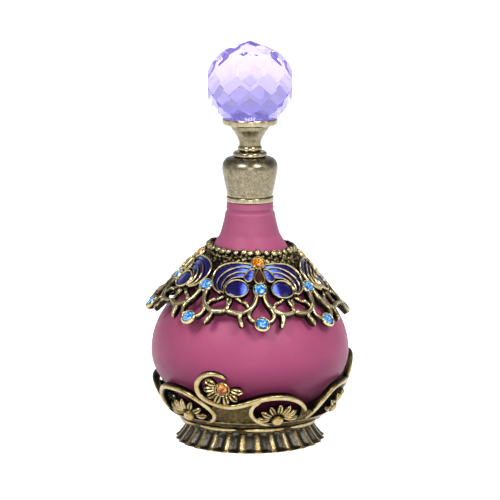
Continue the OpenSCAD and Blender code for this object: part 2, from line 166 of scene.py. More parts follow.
def curve(points, steps, closed=False):
    """A smooth run through given points."""
    p = np.array(points, float)
    before, after = (p[-1:], p[:2]) if closed else (p[:1], p[-1:])
    p = np.concatenate([before, p, after])
    t = np.arange(steps)[:, None] / steps
    out = [0.5 * (2 * b + (c - a) * t + (2 * a - 5 * b + 4 * c - d) * t**2
                  + (3 * b - a - 3 * c + d) * t**3) for a, b, c, d in zip(p, p[1:], p[2:], p[3:])]
    if not closed:
        out.append(p[-1:])
    return np.concatenate(out)


def reached(points):
    """How far along a run each of its points lies."""
    return np.concatenate([[0], np.cumsum(np.linalg.norm(np.diff(points, axis=0), axis=1))])


def evenly(points, count):
    """The same run with its points evenly spaced."""
    along = reached(points)
    at = np.linspace(0, along[-1], count)
    return np.stack([np.interp(at, along, points[:, k]) for k in range(2)], -1)


def oval(middle, ra, rs, tilt, count):
    """A tilted oval in angle and distance."""
    t = 360 * np.arange(count) / count
    x, y = ra * cos(t), rs * sin(t)
    return np.stack([middle[0] + x * cos(tilt) - y * sin(tilt) * ra / rs,
                     middle[1] + x * sin(tilt) * rs / ra + y * cos(tilt)], -1)


def bezier(a, b, c, d, count):
    """A run from a to d that sets out towards b and arrives from c."""
    t = np.linspace(0, 1, count)[:, None]
    a, b, c, d = map(np.array, (a, b, c, d))
    return a * (1 - t) ** 3 + 3 * b * t * (1 - t) ** 2 + 3 * c * t * t * (1 - t) + d * t**3


# ---- mesh building ----


def in_scene(name, data):
    """A new object, linked to the scene."""
    made = bpy.data.objects.new(name, data)
    bpy.context.scene.collection.objects.link(made)
    return made


class Shape:
    """Corners and faces in mm, with a number for each corner that its material reads."""

    def __init__(self):
        self.points, self.faces, self.marks, self.count = [], [], [], 0

    def add(self, points, faces, marks):
        """Adds corners, with faces that count from the first of them."""
        self.points.append(np.asarray(points, float).reshape(-1, 3))
        self.faces += [[self.count + i for i in f] for f in faces]
        self.marks.append(np.broadcast_to(marks, len(self.points[-1])).astype(float))
        self.count += len(self.points[-1])

    def grid(self, points, marks, wrap=False, round_=True):
        """Joins rows of corners. wrap joins the last row to the first, and round_ each row's ends."""
        rows, cols = points.shape[:2]
        i = np.arange(rows if wrap else rows - 1)[:, None]
        j = np.arange(cols if round_ else cols - 1)[None, :]
        i2, j2 = (i + 1) % rows, (j + 1) % cols
        quads = np.stack(np.broadcast_arrays(i * cols + j, i * cols + j2, i2 * cols + j2,
                                             i2 * cols + j), -1).reshape(-1, 4).tolist()
        if round_ and not wrap:
            quads.append(list(range(cols))[::-1])
            quads.append(list(range((rows - 1) * cols, rows * cols)))
        self.add(points, quads, np.broadcast_to(marks, (rows, cols)).reshape(-1))

    def piece(self, name, body, slot, material, nodes, crease=50):
        """Makes the Blender object, parents it to its body and hides the CAD nodes that it takes the place
        of.
        """
        points, marks = np.concatenate(self.points), np.concatenate(self.marks)
        mesh = bpy.data.meshes.new(name)
        mesh.from_pydata((points * MM).tolist(), [], self.faces)
        mesh.attributes.new("wear", "FLOAT", "POINT").data.foreach_set("value", marks)
        bm = bmesh.new()
        bm.from_mesh(mesh)
        bmesh.ops.remove_doubles(bm, verts=bm.verts, dist=0.001 * MM)
        bmesh.ops.recalc_face_normals(bm, faces=bm.faces)
        bm.to_mesh(mesh)
        bm.free()
        mesh.shade_smooth()
        mesh.set_sharp_from_angle(angle=math.radians(crease))
        mesh.materials.append(material)
        made = in_scene(name, mesh)
        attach(made, body)
        if nodes:
            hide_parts(*nodes)
        return made

    def casting(self, name, material, crease, *nodes):
        """A cast piece of the bottle's dress."""
        self.piece(name, "bottle", "antique_casting", material, nodes, crease)


def arch(count, foot=True, power=1.0, fall=2.2):
    """A rounded section, most worn along its top."""
    t = np.linspace(0, 180, count)
    rows = [(cos(a), sin(a) ** power, sin(a) ** fall) for a in t]
    if foot:
        rows += [(-1, -1, 0), (1, -1, 0)]
    return np.array(rows, float)


# Each section's corners: side and height as shares of the line's, and how worn each is.
WIRE = arch(7)
TWIG = arch(11, power=0.9)
RAIL = np.array([(1.0, -1.0, 0.3), *arch(13, False, 0.75, 0.9), (-1.0, -1.0, 0.3)])
LEAF = np.array([(1, 0, 0.1), (0.86, 0.6, 0.5), (0.5, 1, 1), (0.22, 0.8, 0.8), (0, 0.4, 0.05),
                 (-0.22, 0.8, 0.8), (-0.5, 1, 1), (-0.86, 0.6, 0.5), (-1, 0, 0.1), (-1, -1, 0),
                 (1, -1, 0)])
PAD_DEPTH = 0.3  # how far pads and bands reach below their surface


def sweep(shape, place, line, width, rise, profile, lift=0.0, depth=0.6, closed=False, swell=1.0):
    """A raised line along a run of points on a surface, with rounded ends."""
    line = np.array(line, float)
    at = place(line[:, 0], line[:, 1], lift)
    up = unit(place(line[:, 0], line[:, 1], lift + 1.0) - at)
    ahead, behind = np.roll(at, -1, 0), np.roll(at, 1, 0)
    if not closed:
        ahead[-1], behind[0] = at[-1], at[0]
    side = unit(np.cross(unit(ahead - behind), up))
    size = swell * np.ones(len(line))
    if not closed:
        along = reached(at)
        nearest = np.minimum(along, along[-1] - along) / (width / 2)
        size = size * np.sqrt(1 - (1 - np.clip(nearest, 0.02, 1)) ** 2)
    u, v, worn = profile.T
    height = np.where(v > 0, v * rise, v * depth)
    points = (at[:, None] + side[:, None] * (u * width / 2)[None, :, None] * size[:, None, None]
              + up[:, None] * (height[None] * np.where(v > 0, size[:, None], 1))[..., None])
    shape.grid(points, worn[None], wrap=closed)


def pad(shape, place, middle, outline, low, dome, marks, rings):
    """A domed cushion inside an outline, closed underneath."""
    middle, outline = np.array(middle, float), np.array(outline, float)
    share = np.concatenate([[0.02], sin(np.linspace(8, 90, rings)), [1.0]])
    rows = []
    for k, q in enumerate(share):
        p = middle + (outline - middle) * q
        h = -PAD_DEPTH if k == len(share) - 1 else low + dome * math.sqrt(max(0, 1 - q * q))
        rows.append(place(p[:, 0], p[:, 1], h))
    shape.grid(np.array(rows), marks(np.array([middle + (outline - middle) * q for q in share])))


def band(shape, place, first, second, low, dome, marks):
    """A domed strip between two lines, closed underneath."""
    count, across = 44, 9
    first, second = evenly(first, count), evenly(second, count)
    t = np.linspace(0, 1, across)[None, :, None]
    flat = first[:, None] * (1 - t) + second[:, None] * t
    shut = np.sqrt(np.clip(sin(np.linspace(0, 180, count)), 0, 1))[:, None]
    height = low + dome * sin(180 * t[..., 0]) ** 0.7 * shut
    top = place(flat[..., 0], flat[..., 1], height)
    under = place(flat[:, ::-1, 0], flat[:, ::-1, 1], -PAD_DEPTH)
    mark = marks(flat)
    shape.grid(np.concatenate([top, under], 1), np.concatenate([mark, mark[:, ::-1]], 1))


def lathe(shape, profile, count, marks=0.5, wobble=0.0):
    """A turned ring from a closed profile of radius and height."""
    profile = np.array(profile, float)
    a = 360 * np.arange(count)[:, None] / count
    r = profile[None, :, 0] * (1 + wobble * sin(3 * a + 40) * (profile[None, :, 0] > 2))
    z = np.broadcast_to(profile[None, :, 1], r.shape)
    shape.grid(polar(r, a, z), marks, wrap=True)


def eased(profile, bevel, steps=3):
    """Rounds the corners of a closed profile, and marks each rounded outer corner as worn."""
    p = np.array(profile, float)
    out, worn = [], []
    for i in range(len(p)):
        a, b, c = p[i - 1], p[i], p[(i + 1) % len(p)]
        la, lc = np.linalg.norm(a - b), np.linalg.norm(c - b)
        cut = min(bevel, 0.4 * la, 0.4 * lc)
        start, end = b + (a - b) / la * cut, b + (c - b) / lc * cut
        turn = np.cross(np.append(b - a, 0), np.append(c - b, 0))[2] / (la * lc)
        for k in range(steps + 1):
            t = k / steps
            out.append(start * (1 - t) ** 2 + 2 * b * t * (1 - t) + end * t * t)
            worn.append(0.55 + min(0.45, max(-0.5, 0.9 * turn)) * sin(180 * (0.15 + 0.7 * t)))
    return np.array(out), np.array(worn)


def ball_mesh(steps):
    """Corners and faces of a fine unit ball."""
    bm = bmesh.new()
    bmesh.ops.create_icosphere(bm, subdivisions=steps, radius=1)
    points = np.array([v.co for v in bm.verts])
    faces = [[v.index for v in f.verts] for f in bm.faces]
    bm.free()
    return points, faces


BEAD_POINTS, BEAD_FACES = ball_mesh(3)


def stand(place, a, s, h):
    """A point on a surface with the directions across, down and out of it."""
    angles = np.array([a, a, a - 1, a + 1], float)
    at, above, before, after = place(angles, np.full(4, float(s)), np.array([0, 1, 0, 0]) + float(h))
    out, across = unit(above - at), unit(after - before)
    return at, across, np.cross(out, across), out


def placed(points, seat, scale=1.0):
    """Points moved from a seat's own directions into the frame."""
    at, x, y, z = seat
    p = np.asarray(points, float) * scale
    return at + p[..., 0:1] * x + p[..., 1:2] * y + p[..., 2:3] * z


def bead(shape, seat, radius, squash, draw, worn=1.0):
    """An irregular cast bead."""
    p = BEAD_POINTS
    lump = 1 + 0.14 * np.array([noise.noise(Vector(q * 1.3 + draw)) for q in p])
    shape.add(placed(p * lump[:, None] * [1, 1, squash], seat, radius), BEAD_FACES,
              worn * np.clip(0.1 + 0.95 * p[:, 2], 0, 1))


def turned(shape, seat, profile, count, marks):
    """A small turned shape that stands on a surface."""
    profile = np.array(profile, float)
    a = 360 * np.arange(count)[:, None] / count
    r = profile[None, :, 0]
    height = np.broadcast_to(profile[None, :, 1], (count, len(profile)))
    local = np.stack([r * sin(a), r * cos(a), height], -1)
    shape.grid(placed(local, seat), np.array(marks)[None], wrap=True)


# ---- materials ----


def fill_ramp(node, stops):
    """Sets a colour ramp's stops, each a place along it and a colour."""
    elements = node.color_ramp.elements
    for k, (at, colour) in enumerate(stops):
        stop = elements[k] if k < 2 else elements.new(at)
        stop.position, stop.color = at, (*colour, 1)


class Paint:
    """A Principled material whose pattern is in millimetres of the object's own space."""

    def __init__(self, name, **sockets):
        self.material = bpy.data.materials.new(name)
        self.material.use_nodes = True
        self.tree = self.material.node_tree
        self.shader = self.tree.nodes["Principled BSDF"]
        for key, value in sockets.items():
            self.shader.inputs[key.replace("_", " ")].default_value = value
        place = self.tree.nodes.new("ShaderNodeTexCoord")
        scale = self.tree.nodes.new("ShaderNodeMapping")
        scale.inputs["Scale"].default_value = (1 / MM,) * 3
        self.tree.links.new(place.outputs["Object"], scale.inputs["Vector"])
        self.where = scale.outputs["Vector"]

    def node(self, kind, inputs, output, **settings):
        """Adds a node, links or sets its inputs, and gives back one output."""
        made = self.tree.nodes.new(kind)
        for key, value in settings.items():
            setattr(made, key, value)
        for key, value in inputs.items():
            if isinstance(value, bpy.types.NodeSocket):
                self.tree.links.new(value, made.inputs[key])
            else:
                made.inputs[key].default_value = value
        return made.outputs[output]

    def noise(self, scale, detail=4.0, rough=0.55, where=None, twist=0.0):
        inputs = {"Vector": where or self.where, "Scale": scale, "Detail": detail, "Roughness": rough,
                  "Distortion": twist}
        return self.node("ShaderNodeTexNoise", inputs, "Fac")

    def stretched(self, x, y, z):
        return self.node("ShaderNodeMapping", {"Vector": self.where, "Scale": (x, y, z)}, "Vector")

    def mark(self, name="wear"):
        """The number that the mesh carries."""
        return self.node("ShaderNodeAttribute", {}, "Fac", attribute_name=name)

    def axis(self, which):
        return self.node("ShaderNodeSeparateXYZ", {"Vector": self.where}, which)

    def math(self, how, a, b):
        return self.node("ShaderNodeMath", {0: a, 1: b}, "Value", operation=how)

    def plus(self, value, pattern, amount):
        """The value with some of a pattern added."""
        return self.math("ADD", value, self.math("MULTIPLY", pattern, amount))

    def stirred(self, value, pattern, amount):
        """The value with some of a pattern added, around the pattern's middle."""
        return self.plus(value, self.math("SUBTRACT", pattern, 0.5), amount)

    def between(self, value, low, high, to_low=0.0, to_high=1.0):
        return self.node("ShaderNodeMapRange", {"Value": value, "From Min": low, "From Max": high,
                                                "To Min": to_low, "To Max": to_high}, "Result")

    def ramp(self, value, *stops):
        made = self.tree.nodes.new("ShaderNodeValToRGB")
        self.tree.links.new(value, made.inputs["Fac"])
        fill_ramp(made, stops)
        return made.outputs["Color"]

    def mix(self, share, a, b):
        made = self.tree.nodes.new("ShaderNodeMix")
        made.data_type = "RGBA"
        for socket, value in ((made.inputs[0], share), (made.inputs[6], a), (made.inputs[7], b)):
            if isinstance(value, bpy.types.NodeSocket):
                self.tree.links.new(value, socket)
            else:
                socket.default_value = value if isinstance(value, float) else (*value, 1)
        return made.outputs[2]

    def set(self, **links):
        for key, value in links.items():
            self.tree.links.new(value, self.shader.inputs[key.replace("_", " ")])

    def bump(self, height, distance):
        inputs = {"Height": height, "Distance": distance * MM, "Strength": 1.0}
        made = self.node("ShaderNodeBump", inputs, "Normal")
        self.tree.links.new(made, self.shader.inputs["Normal"])


def brass_paint(name, pale, warm, dark, bias, grain, rough_low, rough_high, lumps=0.0):
    """Cast metal whose raised parts are rubbed pale and whose hollows keep a dark patina."""
    p = Paint(name, Metallic=1.0)
    fine = p.noise(7, 4, 0.6)
    rubbed = p.stirred(p.stirred(p.mark(), p.noise(0.9, 5, 0.6), 0.9), fine, 0.25)
    share = p.between(rubbed, 0.2 + bias, 0.85 + bias)
    gold = p.mix(p.between(p.noise(0.5, 3), 0.35, 0.65), pale, warm)
    low = p.mix(p.between(share, 0.0, 0.45), dark, tuple(0.4 * c for c in warm))
    p.set(Base_Color=p.mix(p.between(share, 0.4, 0.9), low, gold),
          Roughness=p.between(share, 0, 1, rough_high, rough_low))
    p.bump(p.plus(p.plus(p.noise(18, 3, 0.6), fine, 0.5), p.noise(2.2, 3, 0.6), lumps), grain)
    return p.material


def enamel_paint(name, *stops):
    """Glassy fired enamel, with the flow marks of the firing."""
    p = Paint(name, Roughness=0.2, Specular_IOR_Level=0.2, Coat_Weight=0.5, Coat_Roughness=0.05)
    p.set(Base_Color=p.ramp(p.stirred(p.mark(), p.noise(1.3, 4, 0.6, twist=0.8), 0.9), *stops))
    p.bump(p.noise(1.6, 3, 0.5), 0.06)
    return p.material


def gem_paint(name, *stops):
    """Cut glass on a foil back, with painted reflections: each facet gets its own painted brightness, up to
    a white glint.
    """
    p = Paint(name, Roughness=0.05, Coat_Weight=0.1, Coat_Roughness=0.02, Specular_IOR_Level=0.3)
    # painted reflections: a brightness for each facet, in place of the light that the foil throws back
    p.set(Base_Color=p.ramp(p.stirred(p.mark("painted_glint"), p.noise(2.6, 2), 0.9), *stops))
    return p.material


def glass_paint():
    """Frosted plum glass: a satin skin, with painted shade that darkens it towards the base and again at
    the height of the collar, and paler up the neck.
    """
    p = Paint("frosted_plum_glass", Roughness=0.45, Subsurface_Weight=0.3, Subsurface_Scale=0.003,
              Subsurface_Radius=(1.0, 0.35, 0.6), Specular_IOR_Level=0.2)
    height = p.axis("Z")
    # painted shade: the colour darkens by height towards the base and at the height of the collar, where
    # shade falls
    depth = p.ramp(p.between(height, GLASS_LOW[2], GLASS_HIGH[2]),
                   (0.0, (0.10, 0.008, 0.04)), (0.12, (0.22, 0.025, 0.085)), (0.3, (0.44, 0.085, 0.19)),
                   (0.5, (0.42, 0.083, 0.18)), (0.62, (0.35, 0.06, 0.15)), (0.76, (0.39, 0.085, 0.175)),
                   (0.9, (0.4, 0.1, 0.19)))
    cloud = p.between(p.noise(0.12, 3, 0.5), 0.3, 0.7, 0.0, 0.35)
    p.set(Base_Color=p.mix(cloud, depth, (0.34, 0.055, 0.16)),
          Roughness=p.between(p.noise(0.35, 4), 0.3, 0.7, 0.38, 0.47))
    p.bump(p.plus(p.noise(9, 4, 0.6), p.noise(0.5, 2), 3), 0.02)
    return p.material


def ball_paint():
    """Lilac crystal with painted light: its colour runs from deeper violet at the seat to pale lavender
    above, standing in for what it refracts, and it has a painted glow that is strongest towards its seat.
    """
    p = Paint("lilac_crystal_glass", Roughness=0.0, Transmission_Weight=1.0, IOR=1.5, Emission_Strength=1.0)
    # painted light: this height ramp sets both the painted refraction in the colour and the painted glow
    shade = p.between(p.plus(p.axis("Z"), p.noise(0.3, 2), 3), BALL_FOOT, BALL_FOOT + 22)
    p.set(Base_Color=p.ramp(shade, (0.15, (0.34, 0.31, 0.95)), (0.5, (0.56, 0.5, 0.96)),
                            (1.0, (0.76, 0.67, 0.96))),
          Emission_Color=p.ramp(shade, (0.1, (0.11, 0.1, 0.34)), (0.5, (0.035, 0.025, 0.09)),
                                (0.9, (0.015, 0.006, 0.03))))
    return p.material


def satin_paint(name, pale, warm, dark, grain, rough_low, rough_high):
    """Satin brass with a sanded grain and fine turning lines."""
    p = Paint(name, Metallic=1.0)
    speck = p.noise(3.2, 5, 0.75)
    ring = p.noise(1.0, 3, 0.6, where=p.stretched(0.25, 0.25, 9))
    share = p.between(p.stirred(p.mark(), p.noise(0.8, 4), 0.9), 0.15, 0.95)
    gold = p.mix(p.between(speck, 0.3, 0.7), warm, pale)
    p.set(Base_Color=p.mix(share, dark, gold), Roughness=p.between(speck, 0.3, 0.7, rough_high, rough_low))
    p.bump(p.plus(speck, ring, 0.6), grain)
    return p.material


def plastic_paint(name, colour, rough, clear=0.55):
    """Moulded plastic or drawn glass with faint flow marks."""
    p = Paint(name, Roughness=rough, Transmission_Weight=clear, IOR=1.46)
    flow = p.noise(0.4, 3, 0.6, where=p.stretched(1, 1, 0.3))
    p.set(Base_Color=p.mix(p.between(flow, 0.3, 0.7), colour, tuple(0.9 * c for c in colour)))
    p.bump(p.noise(3, 3), 0.01)
    return p.material


def steel_paint():
    """Drawn steel with lines along its length."""
    p = Paint("drawn_steel", Metallic=1.0)
    line = p.noise(4, 3, 0.6, where=p.stretched(3, 3, 0.1))
    p.set(Base_Color=p.mix(p.between(line, 0.3, 0.7), (0.5, 0.5, 0.52), (0.7, 0.7, 0.72)),
          Roughness=p.between(line, 0.3, 0.7, 0.22, 0.38))
    p.bump(line, 0.01)
    return p.material


PALE, WARM, DARK = (0.56, 0.48, 0.29), (0.46, 0.33, 0.13), (0.016, 0.012, 0.008)
COLLAR_METAL = brass_paint("collar_metal", PALE, (0.5, 0.4, 0.2), DARK, bias=0.12, grain=0.009,
                           rough_low=0.24, rough_high=0.36)
GROUND_METAL = brass_paint("ground_metal", PALE, WARM, (0.012, 0.010, 0.008), bias=0.12, grain=0.012,
                           rough_low=0.26, rough_high=0.38)
RAIL_METAL = brass_paint("gallery_metal", (0.43, 0.37, 0.22), (0.33, 0.23, 0.08), DARK, bias=0.08,
                         grain=0.009, rough_low=0.25, rough_high=0.36, lumps=1.0)
FOOT_METAL = brass_paint("foot_metal", PALE, WARM, (0.085, 0.075, 0.06), bias=0.1, grain=0.03,
                         rough_low=0.2, rough_high=0.09, lumps=3.5)
SATIN_METAL = satin_paint("satin_metal", (0.52, 0.455, 0.315), (0.13, 0.11, 0.065), (0.07, 0.06, 0.04),
                          grain=0.012, rough_low=0.22, rough_high=0.32)
RING_METAL = satin_paint("ring_metal", (0.55, 0.48, 0.33), (0.3, 0.25, 0.15), (0.03, 0.025, 0.018),
                         grain=0.004, rough_low=0.14, rough_high=0.22)
BLUE = enamel_paint("blue_enamel", (0.0, (0.2, 0.34, 0.9)), (0.3, (0.09, 0.16, 0.68)),
                    (0.5, (0.016, 0.014, 0.22)), (0.75, (0.004, 0.002, 0.07)))
BROWN = enamel_paint("brown_enamel", (0.0, (0.08, 0.02, 0.01)), (1.0, (0.015, 0.004, 0.003)))
SAPPHIRE = gem_paint("sapphire_gem", (0.0, (0.004, 0.04, 0.24)), (0.35, (0.012, 0.15, 0.56)),
                     (0.65, (0.05, 0.32, 0.78)), (0.95, (0.42, 0.75, 1.0)))
TOPAZ = gem_paint("topaz_gem", (0.0, (0.1, 0.01, 0.0)), (0.35, (0.42, 0.08, 0.002)),
                  (0.65, (0.78, 0.23, 0.006)), (0.95, (1.0, 0.55, 0.1)))
FROSTED = glass_paint()
CRYSTAL = ball_paint()
PLASTIC = plastic_paint("plug_plastic", (0.84, 0.84, 0.82), 0.3)
SEAL = plastic_paint("seal_rubber", (0.74, 0.74, 0.71), 0.5, 0.1)
ROD = plastic_paint("clear_rod", (0.9, 0.93, 0.93), 0.04, 0.95)
STEEL = steel_paint()


# ---- the glass ----


def glass_body():
    """The bulb and neck, drawn as the CAD profile with finer curves."""
    flare_up, hollow_up = 15.9, 14.4  # where the bulb's round ends, outside and inside
    low, top = np.arcsin((GLASS_LOW[2] - BULB_Z) / BULB_LOW), np.arcsin(flare_up / BULB_UP)
    t = np.degrees(np.linspace(low, 0, 34))
    under = np.stack([BULB_R * cos(t), BULB_Z + BULB_LOW * sin(t)], -1)
    t = np.degrees(np.linspace(0, top, 26))[1:]
    over = np.stack([BULB_R * cos(t), BULB_Z + BULB_UP * sin(t)], -1)
    flare = bezier((21.7, 42.5), (17.4, 46.5), (13.4, 53.1), (9.2, 60.1), 24)[1:]
    neck = curve([(9.2, 60.1), (8.6, 61.3), (7.95, 63.7), (7.5, 65.6), (7.25, 67.1)], 5)[1:]
    lip = [(7.05, 67.5), (6.85, 67.65), (6.8, 68.5), (6.92, 68.7), (6.92, 68.9), (6.8, 69.1), (6.8, 70.2),
           (6.6, 70.4), (6.0, 70.4), (6.0, 74.3), (5.7, 74.6), (4.9, 74.6), (4.6, 74.3), (5.2, 73.4),
           (5.2, 64), (6.6, 61.2)]
    hollow = bezier((7.6, 59.2), (11.8, 52), (16, 45.6), (20.6, 41), 18)
    t = np.linspace(math.degrees(math.asin(hollow_up / (BULB_UP - WALL))), 0, 16)
    inside = np.stack([(BULB_R - WALL) * cos(t), BULB_Z + (BULB_UP - WALL) * sin(t)], -1)
    t = np.linspace(0, -90, 20)[1:]
    pool = np.stack([(BULB_R - WALL) * cos(t), BULB_Z + (BULB_LOW - WALL - 0.6) * sin(t)], -1)
    base = [(0.0, GLASS_LOW[2] + 0.3), (14.0, GLASS_LOW[2] + 0.2)]
    shape = Shape()
    lathe(shape, np.concatenate([base, under, over, flare, neck, lip, hollow, inside, pool]), 240)
    shape.piece("glass_body", "bottle", "frosted_glass", FROSTED, ["glass_bottle"], 40)


# ---- the collar ----

EDGE = curve([(7, 3.9), (19, 3.7), (31.5, 4.2), (39.6, 5.8), (42.2, 8.3), (40.4, 10.8), (36, 13.1),
              (30, 14.4)], 8)
VEIN_A = curve([(8.4, 5.5), (13, 5.1), (20.7, 5.3), (29.9, 6.8), (35, 9.1), (35.4, 11.4), (32.6, 13.3),
                (29, 14.2)], 8)
VEIN_B = curve([(11.6, 7), (16, 6.8), (21.5, 7.1), (27.8, 8.6), (30.6, 10.8), (30.2, 12.8),
                (28.2, 14.2)], 8)
VEIN_C = curve([(13.2, 8.5), (18, 8.6), (23, 9.1), (27, 10.6), (28.6, 12.4), (27.4, 14.3)], 9)
HIND = oval((18.2, 12.4), 9.0, 2.85, 4, 40)
DROP = curve([(4.9, 5.8), (8, 5.9), (10.8, 6.7), (13.3, 8.2), (12.5, 9.4), (9.5, 10), (6.3, 9.1),
              (4.7, 7.4)], 6, closed=True)
TEAR = curve([(0, 5.3), (2.4, 6.7), (4.1, 8.4), (4.2, 9.5), (2.4, 10.4), (0, 10.7), (-2.4, 10.4),
              (-4.2, 9.5), (-4.1, 8.4), (-2.4, 6.7)], 5, closed=True)
ENAMEL_LOW = 0.35
WIRE_RISE = 1.15
# Each wing wire's line, its width, whether it closes, and how much higher than WIRE_RISE it stands.
WING_LINES = [(EDGE, 0.85, False, 0), (VEIN_A, 0.6, False, 0), (VEIN_B, 0.6, False, 0),
              (VEIN_C, 0.6, False, 0), (HIND, 0.72, True, 0.12), (DROP, 0.7, True, 0.3)]


def plate_edge(a):
    """How far down the collar plate reaches at an angle from a butterfly's axis."""
    folded = np.abs((a + EIGHTH) % QUARTER - EIGHTH)
    at = curve([(0, 13.7), (4.5, 12.8), (7, 11.2), (10, 11.8), (13, 14.4), (18, 15.6), (24, 15.8),
                (29, 14.6), (31.5, 13.6), (35, 14.2), (38, 13.4), (41, 12.4), (45, 13.7)], 4)
    return np.interp(folded, at[:, 0], at[:, 1])


def collar_ground():
    """The pebbled plate behind the butterflies, with the lip that bears on the neck."""
    around, down_it = 840, 64
    a = 360 * np.arange(around)[:, None] / around
    share = np.linspace(0, 1, down_it)[None, :]
    s = share * plate_edge(a)
    flat = on_collar(a + TURN + 0 * s, s, 0 * s)
    lump = np.array([noise.voronoi(Vector(p * 1.15))[0][0] for p in flat.reshape(-1, 3)]).reshape(s.shape)
    rise = 0.42 * np.clip(1 - 1.9 * lump, 0, 1) ** 0.6
    edge = np.clip((1 - share) * plate_edge(a) / 0.5, 0, 1)
    top = on_collar(a + TURN + 0 * s, s, (rise + 0.05) * np.sqrt(edge) - 0.25 * (1 - edge))
    last = s[:, -1:]
    under = [on_collar(a + TURN, far + 0 * last, up + 0 * last)
             for far, up in ((last - 0.1, -0.9), (6.0, -1.1), (0.8, -1.1), (-1.2, -0.3))]
    shape = Shape()
    points = np.concatenate([top] + under, 1)
    worn = 0.2 + 1.9 * rise * (0.4 + 0.6 * (share < 0.3))
    marks = np.concatenate([worn] + [0 * last] * 3 + [0 * last + 0.7], 1)
    shape.grid(points, marks, wrap=True)
    shape.casting("collar_ground", GROUND_METAL, 60, "collar_casting")


def rim_beads():
    """The row of uneven beads around the neck, and smaller ones tucked under it."""
    shape = Shape()
    draw = np.random.default_rng(11)
    upper, tucked = 36, 52
    for i in range(upper):
        a = 360 * (i + draw.uniform(-0.2, 0.2)) / upper
        seat = stand(on_collar, a, draw.uniform(-0.35, 0.2), 0.3)
        bead(shape, seat, draw.uniform(0.85, 1.15), 0.85, draw.uniform(0, 40, 3))
    for i in range(tucked):
        a = 360 * (i + draw.uniform(-0.3, 0.3)) / tucked
        seat = stand(on_collar, a, 1.65 + draw.uniform(-0.35, 0.45), 0.05)
        bead(shape, seat, draw.uniform(0.45, 0.72), 0.8, draw.uniform(0, 40, 3), 0.6)
    shape.casting("collar_beads", COLLAR_METAL, 70)


def wing_wires():
    """The raised wires of the butterflies."""
    shape = Shape()
    for i in range(BUTTERFLIES):
        for side in (1, -1):
            for line, width, closed, extra in WING_LINES:
                sweep(shape, on_collar, line * [side, 1] + [TURN + QUARTER * i, 0], width,
                      WIRE_RISE + extra, WIRE, closed=closed)
        sweep(shape, on_collar, TEAR + [TURN + QUARTER * i, 0], 0.7, WIRE_RISE + 0.3, WIRE, closed=True)
    shape.casting("wing_wires", COLLAR_METAL, 60)


def wing_enamel(i):
    """The enamel of one butterfly's two wings, in five cells a side."""
    shape = Shape()
    axis = TURN + QUARTER * i

    def tone(start, reach, least=0.0):
        """A shade that deepens away from the butterfly's axis."""
        return lambda flat: np.clip(least + (np.abs(flat[..., 0] - axis) - start) / reach, 0, 1)

    for side in (1, -1):
        def put(line):
            return line * [side, 1] + [axis, 0]
        for first, second in ((EDGE, VEIN_A), (VEIN_A, VEIN_B), (VEIN_B, VEIN_C)):
            band(shape, on_collar, put(first), put(second), ENAMEL_LOW, 0.3, tone(11, 21))
        pad(shape, on_collar, put(HIND.mean(0)), put(HIND), ENAMEL_LOW + 0.05, 0.42, tone(11, 8), 10)
        pad(shape, on_collar, put(DROP.mean(0)), put(DROP), ENAMEL_LOW + 0.3, 0.3, tone(6, 12, 0.2), 6)
    shape.piece(f"butterfly_{i + 1}_wings", "bottle", "blue_enamel", BLUE, [f"wing_enamel_{i + 1}"], 40)


def body_enamel(i):
    """The enamel teardrop that is one butterfly's body."""
    shape = Shape()
    axis = TURN + QUARTER * i
    pad(shape, on_collar, (axis, 8.6), TEAR + [axis, 0], ENAMEL_LOW + 0.2, 0.4,
        lambda flat: np.clip(0.2 + 0.16 * (flat[..., 1] - 6), 0, 1), 8)
    shape.piece(f"butterfly_{i + 1}_body", "bottle", "brown_enamel", BROWN, [f"body_enamel_{i + 1}"], 40)


# Each twig's points, its width where it starts and ends, and its height
SPRAY_LINES = [
    ([(2.9, 13.2), (3.3, 15.4), (5.4, 17.7), (9.2, 19.4), (13.6, 20.4), (17.8, 20.3), (22.9, 19.7)],
     2.0, 1.75, 1.45),
    ([(12.9, 20.0), (13.4, 21.5), (12.7, 22.9), (11.3, 24.6)], 2.1, 1.6, 1.4),
    ([(5.6, 18.2), (7.5, 19.6), (7.6, 21.1), (5.8, 22.5), (3.2, 22.7)], 1.7, 1.45, 1.3),
    ([(8.4, 18.7), (9.2, 17.5), (11.3, 16.7), (13.8, 16.5)], 1.45, 1.3, 1.15),
    ([(13.6, 16.5), (15.8, 15.6), (18.6, 15.0)], 1.35, 1.1, 0.85),
    ([(22.5, 19.6), (22.6, 18.2), (21.2, 16.6), (21.6, 15.2)], 1.35, 1.1, 0.85),
]


def collar_twigs():
    """The coral-like sprays that hang from the collar, with forked tips."""
    shape = Shape()
    draw = np.random.default_rng(23)
    for i in range(SPRAYS):
        for side in (1, -1):
            for points, start, end, rise in SPRAY_LINES:
                line = evenly(curve(points, 8), 12 * len(points))
                t = np.linspace(0, 1, len(line))
                width = start + (end - start) * t
                width = width * (1 + 0.1 * np.sin(t * draw.uniform(5, 9) + draw.uniform(0, 6)))
                sweep(shape, on_collar, line * [side, 1] + [TURN + EIGHTH * i, 0], start, rise, TWIG,
                      lift=-0.15, depth=0.5, swell=width / start)
    shape.casting("collar_twigs", COLLAR_METAL, 70)


def bezel(shape, seat, wall=0.62):
    """A cup with a rounded lip and four claws around a stone."""
    radius, low, lip = STONE_R, -1.5, 0.62
    out = radius + wall
    profile = [(radius * 0.75, low), (out - 0.5, low + 0.5), (out - 0.05, -0.35), (out, 0.1),
               (out - 0.14, 0.45), (radius + 0.45 * wall, lip + 0.04), (radius + 0.02, lip - 0.12),
               (radius, 0.1), (radius * 0.7, -0.2)]
    worn = [0, 0, 0.3, 0.75, 1, 1, 0.5, 0, 0]
    turned(shape, seat, profile, 28, worn)
    for a in (45, 135, 225, 315):
        at, x, y, z = seat
        claw = (at + (x * sin(a) + y * cos(a)) * (radius + 0.08) + z * lip, x, y, z)
        shape.add(placed(BEAD_POINTS * [1, 1, 0.8], claw, 0.32), BEAD_FACES, 0.9)


